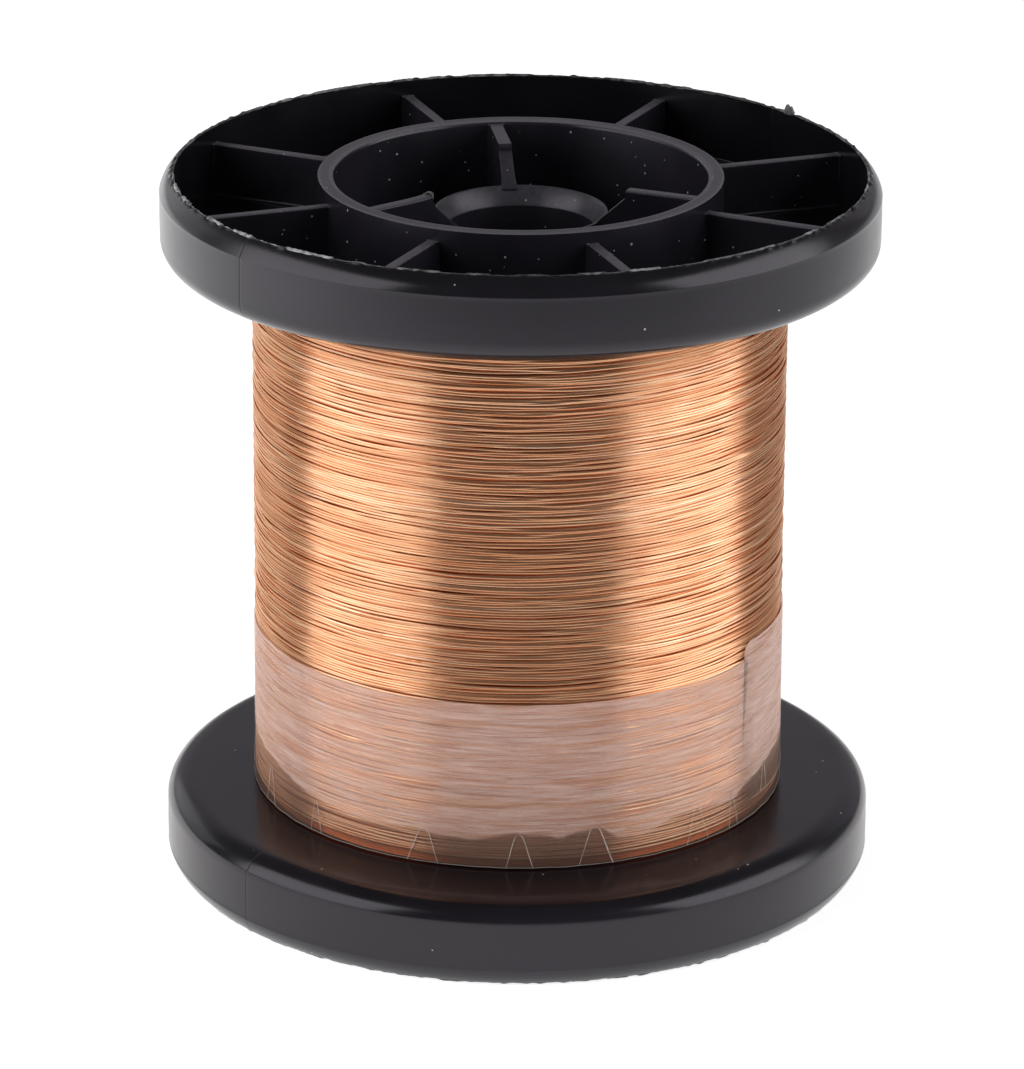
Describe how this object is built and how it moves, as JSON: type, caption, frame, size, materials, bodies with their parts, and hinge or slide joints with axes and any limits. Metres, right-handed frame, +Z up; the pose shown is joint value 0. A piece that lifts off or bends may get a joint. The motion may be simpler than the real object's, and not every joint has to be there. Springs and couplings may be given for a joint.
{
  "type": "wire spool",
  "caption": "Black moulded spool with ribbed flanges and a webbed core, wound full of fine enamelled copper wire that a strip of clear tape holds closed.",
  "frame": {"origin": "middle of the plane that the bottom rim rests on, on the spool's axis", "axes": "+Z up the spool's axis to the top flange, -Y towards the side where the tape's outer end shows at the right, +X to the right of that view"},
  "size_m": [0.08, 0.08, 0.081],
  "materials": {
    "spool_plastic": "glossy moulded black, a little matter inside the flanges",
    "enamelled_copper": "bright drawn copper under a clear enamel",
    "clear_film": "thin clear film, frosted where it sticks"
  },
  "bodies": {
    "root": {"barrel": "spool_plastic", "centre_tube": "spool_plastic", "web_1": "spool_plastic", "web_2": "spool_plastic", "web_3": "spool_plastic", "bottom_rim": "spool_plastic", "bottom_flange_disc": "spool_plastic", "bottom_rib_1": "spool_plastic", "bottom_rib_2": "spool_plastic", "bottom_rib_3": "spool_plastic", "bottom_rib_4": "spool_plastic", "bottom_rib_5": "spool_plastic", "bottom_rib_6": "spool_plastic", "bottom_rib_7": "spool_plastic", "bottom_rib_8": "spool_plastic", "top_rim": "spool_plastic", "top_flange_disc": "spool_plastic", "top_rib_1": "spool_plastic", "top_rib_2": "spool_plastic", "top_rib_3": "spool_plastic", "top_rib_4": "spool_plastic", "top_rib_5": "spool_plastic", "top_rib_6": "spool_plastic", "top_rib_7": "spool_plastic", "top_rib_8": "spool_plastic", "wire_winding": "enamelled_copper", "holding_tape": "clear_film"}
  },
  "joints": []
}
